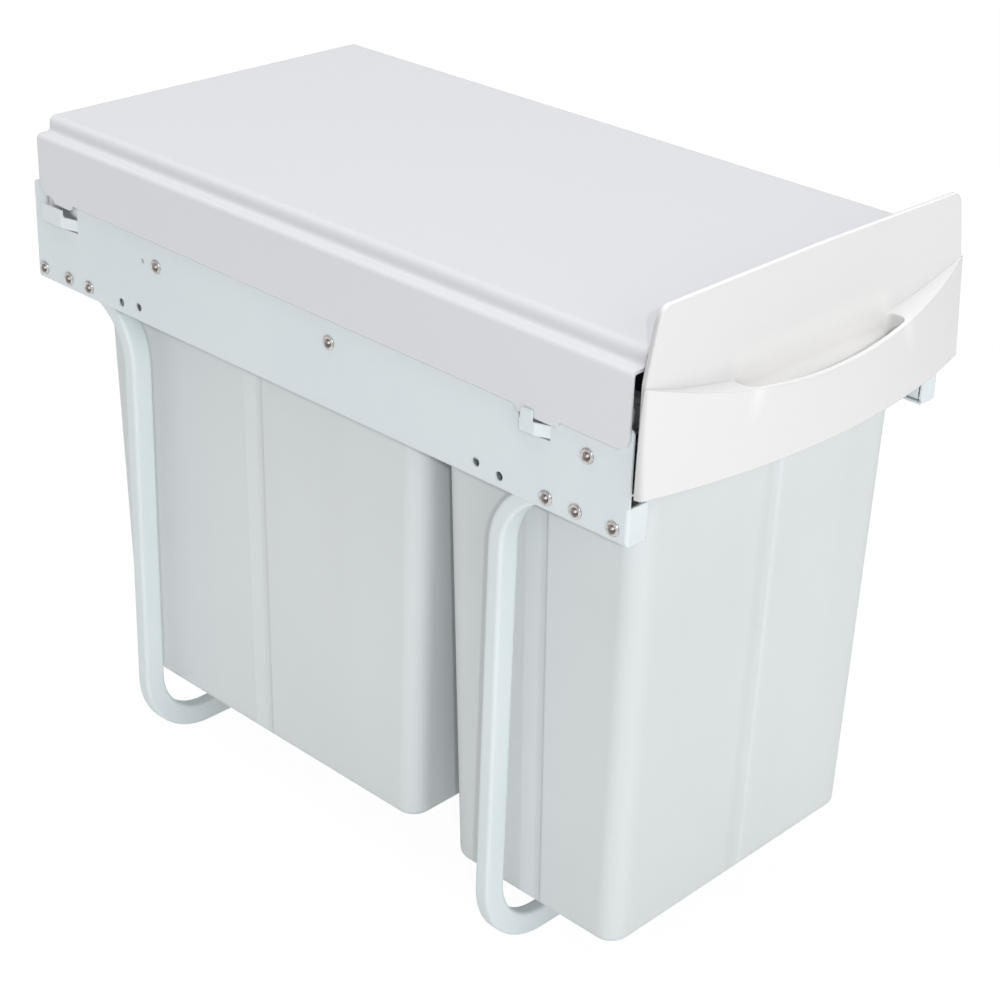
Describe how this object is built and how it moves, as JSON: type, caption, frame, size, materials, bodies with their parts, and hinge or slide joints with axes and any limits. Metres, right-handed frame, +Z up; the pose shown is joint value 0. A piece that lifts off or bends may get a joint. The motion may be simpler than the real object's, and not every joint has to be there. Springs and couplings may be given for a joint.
{
  "type": "pull out bin frame",
  "caption": "Pull-out double waste bin for a narrow kitchen cabinet: side plates on bent tube hoops, fixed lid, ball-bearing drawer with hanging bins and moulded handle.",
  "frame": {"origin": "centre of the four floor-screw holes, on the undersides of the two hoops", "axes": "+X across the frame to its right seen from the front, +Y towards the rear of the cabinet, +Z up; the drawer opens along -Y"},
  "size_m": [0.259, 0.4809, 0.4095],
  "materials": {
    "plate_paint": "powder-coated, satin",
    "hoop_paint": "powder-coated, satin",
    "lid_plastic": "glossy, moulded",
    "handle_plastic": "glossy, moulded",
    "bin_plastic": "fine satin, moulded",
    "zinc": "zinc-plated",
    "nickel": "polished",
    "ball_steel": "polished",
    "rubber": "matt"
  },
  "bodies": {
    "frame": {"side_plate_left": "plate_paint", "side_plate_right": "plate_paint", "hoop_front": "hoop_paint", "hoop_rear": "hoop_paint", "hoop_rivets": "nickel", "slide_rivets": "nickel", "slide_outer_left": "zinc", "slide_outer_right": "zinc", "slide_stop_left": "rubber", "slide_stop_right": "rubber", "lid": "lid_plastic"},
    "drawer": {"slide_inner_left": "zinc", "slide_inner_right": "zinc", "drawer_rail_left": "plate_paint", "drawer_rail_right": "plate_paint", "drawer_front_bar": "plate_paint", "drawer_middle_bar": "plate_paint", "drawer_rear_bar": "plate_paint", "drawer_rivets": "nickel", "rail_screws": "zinc", "bin_front": "bin_plastic", "bin_rear": "bin_plastic", "handle_panel": "handle_plastic", "handle_screws": "zinc"},
    "slide_middle": {"slide_middle_left": "zinc", "slide_middle_right": "zinc"},
    "outer_cages": {"outer_ball_cage_left": "zinc", "outer_ball_cage_right": "zinc", "outer_balls": "ball_steel"},
    "inner_cages": {"inner_ball_cage_left": "zinc", "inner_ball_cage_right": "zinc", "inner_balls": "ball_steel"}
  },
  "joints": [
    {"name": "drawer_slide", "type": "slide", "parent": "frame", "child": "drawer", "axis": [0, -1, 0], "range_m": [0, 0.43]},
    {"name": "middle_slide", "type": "slide", "parent": "frame", "child": "slide_middle", "axis": [0, -1, 0], "range_m": [0, 0.215]},
    {"name": "outer_cage_roll", "type": "slide", "parent": "frame", "child": "outer_cages", "axis": [0, -1, 0], "range_m": [0, 0.1075]},
    {"name": "inner_cage_roll", "type": "slide", "parent": "frame", "child": "inner_cages", "axis": [0, -1, 0], "range_m": [0, 0.3225]}
  ],
  "couplings": [
    {"joint": "middle_slide", "follows": "drawer_slide", "ratio": 0.5},
    {"joint": "outer_cage_roll", "follows": "drawer_slide", "ratio": 0.25},
    {"joint": "inner_cage_roll", "follows": "drawer_slide", "ratio": 0.75}
  ]
}
